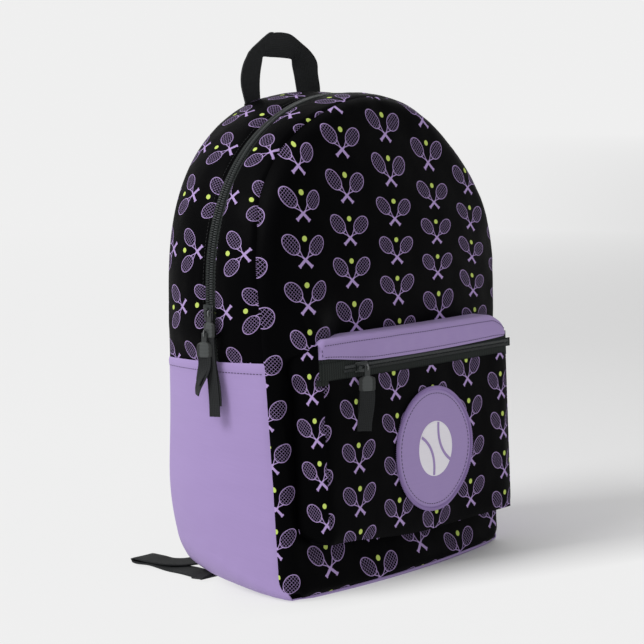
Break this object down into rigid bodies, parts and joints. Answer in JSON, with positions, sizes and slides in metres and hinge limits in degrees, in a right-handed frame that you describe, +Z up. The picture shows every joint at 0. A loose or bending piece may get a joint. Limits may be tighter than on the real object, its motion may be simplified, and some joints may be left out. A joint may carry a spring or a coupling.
{
  "type": "racket backpack",
  "caption": "Day pack with an arched main zip that folds open, a zipped front pocket with a round patch, a top handle and padded shoulder straps on ladder locks.",
  "frame": {"origin": "middle of the flat base, on the surface that the bag stands on", "axes": "+Z up, -Y towards the front pocket, +X to the right as the pocket side is faced"},
  "size_m": [0.3512, 0.2279, 0.4901],
  "materials": {
    "print_fabric": "black satin polyester with a small crossed-rackets and ball print",
    "plain_fabric": "plain lavender polyester",
    "black_fabric": "black woven polyester",
    "webbing": "charcoal polypropylene webbing",
    "zip_tape": "charcoal woven zip tape",
    "zip_coil": "charcoal nylon coil",
    "hardware": "dark moulded and coated hardware",
    "foam": "closed-cell foam",
    "board": "grey polyethylene sheet",
    "emblem": "white printed emblem"
  },
  "bodies": {
    "root": {"front_panel_lower": "print_fabric", "gusset_rear": "print_fabric", "gusset_end_left": "print_fabric", "gusset_end_right": "print_fabric", "pocket_front": "print_fabric", "pocket_gusset": "print_fabric", "lower_wrap": "plain_fabric", "patch": "plain_fabric", "back_panel": "black_fabric", "back_lining": "black_fabric", "laptop_sleeve": "black_fabric", "strap_yoke": "black_fabric", "strap_anchor_left": "black_fabric", "strap_anchor_right": "black_fabric", "handle_foot_left": "webbing", "handle_foot_right": "webbing", "lower_webbing_left": "webbing", "lower_webbing_right": "webbing", "sleeve_binding": "webbing", "main_zip_tape_rear": "zip_tape", "pocket_zip_tape_lower": "zip_tape", "main_zip_coil_rear": "zip_coil", "pocket_zip_coil_lower": "zip_coil", "main_slider_lower": "hardware", "back_foam": "foam", "bottom_board": "board", "patch_emblem": "emblem"},
    "flap": {"front_panel_upper": "print_fabric", "gusset_front": "print_fabric", "main_zip_tape_front": "zip_tape", "main_zip_coil_front": "zip_coil"},
    "pocket_lid": {"pocket_top_strip": "plain_fabric", "pocket_zip_tape_upper": "zip_tape", "pocket_zip_coil_upper": "zip_coil"},
    "pocket_slider": {"pocket_slider": "hardware"},
    "pocket_pull": {"pocket_pull_grip": "hardware", "pocket_pull_webbing": "webbing"},
    "main_slider_upper": {"main_slider_upper": "hardware"},
    "main_pull_upper": {"main_pull_upper_grip": "hardware", "main_pull_upper_webbing": "webbing"},
    "main_pull_lower": {"main_pull_lower_grip": "hardware", "main_pull_lower_webbing": "webbing"},
    "handle": {"handle": "webbing"},
    "strap_left": {"shoulder_pad_left": "black_fabric", "pad_tab_left": "webbing", "ladder_lock_left": "hardware", "strap_tail_left": "webbing"},
    "strap_right": {"shoulder_pad_right": "black_fabric", "pad_tab_right": "webbing", "ladder_lock_right": "hardware", "strap_tail_right": "webbing"}
  },
  "joints": [
    {"name": "flap_open", "type": "hinge", "parent": "root", "child": "flap", "pos_m": [0, -0.0685, 0.229], "axis": [1, 0, 0], "range_deg": [0, 55]},
    {"name": "pocket_lid_lift", "type": "hinge", "parent": "root", "child": "pocket_lid", "pos_m": [0, -0.0685, 0.226], "axis": [-1, 0, 0], "range_deg": [0, 18]},
    {"name": "pocket_slider_slide", "type": "slide", "parent": "pocket_lid", "child": "pocket_slider", "axis": [1, 0, 0], "range_m": [0, 0.205]},
    {"name": "pocket_pull_swing", "type": "hinge", "parent": "pocket_slider", "child": "pocket_pull", "pos_m": [-0.084, -0.0964, 0.1985], "axis": [-1, 0, 0], "range_deg": [0, 115]},
    {"name": "main_slider_upper_slide", "type": "slide", "parent": "root", "child": "main_slider_upper", "axis": [0, 0, 1], "range_m": [0, 0.045]},
    {"name": "main_pull_upper_swing", "type": "hinge", "parent": "main_slider_upper", "child": "main_pull_upper", "pos_m": [-0.1782, -0.001, 0.246], "axis": [0, 1, 0], "range_deg": [0, 115]},
    {"name": "main_pull_lower_swing", "type": "hinge", "parent": "root", "child": "main_pull_lower", "pos_m": [-0.1782, 0.012, 0.229], "axis": [0, 1, 0], "range_deg": [0, 115]},
    {"name": "handle_swing", "type": "hinge", "parent": "root", "child": "handle", "pos_m": [0, 0.0744, 0.427], "axis": [1, 0, 0], "range_deg": [-75, 40]},
    {"name": "strap_left_swing", "type": "hinge", "parent": "root", "child": "strap_left", "pos_m": [-0.052, 0.08, 0.398], "axis": [1, 0, 0], "range_deg": [0, 20]},
    {"name": "strap_right_swing", "type": "hinge", "parent": "root", "child": "strap_right", "pos_m": [0.052, 0.08, 0.398], "axis": [1, 0, 0], "range_deg": [0, 20]}
  ]
}
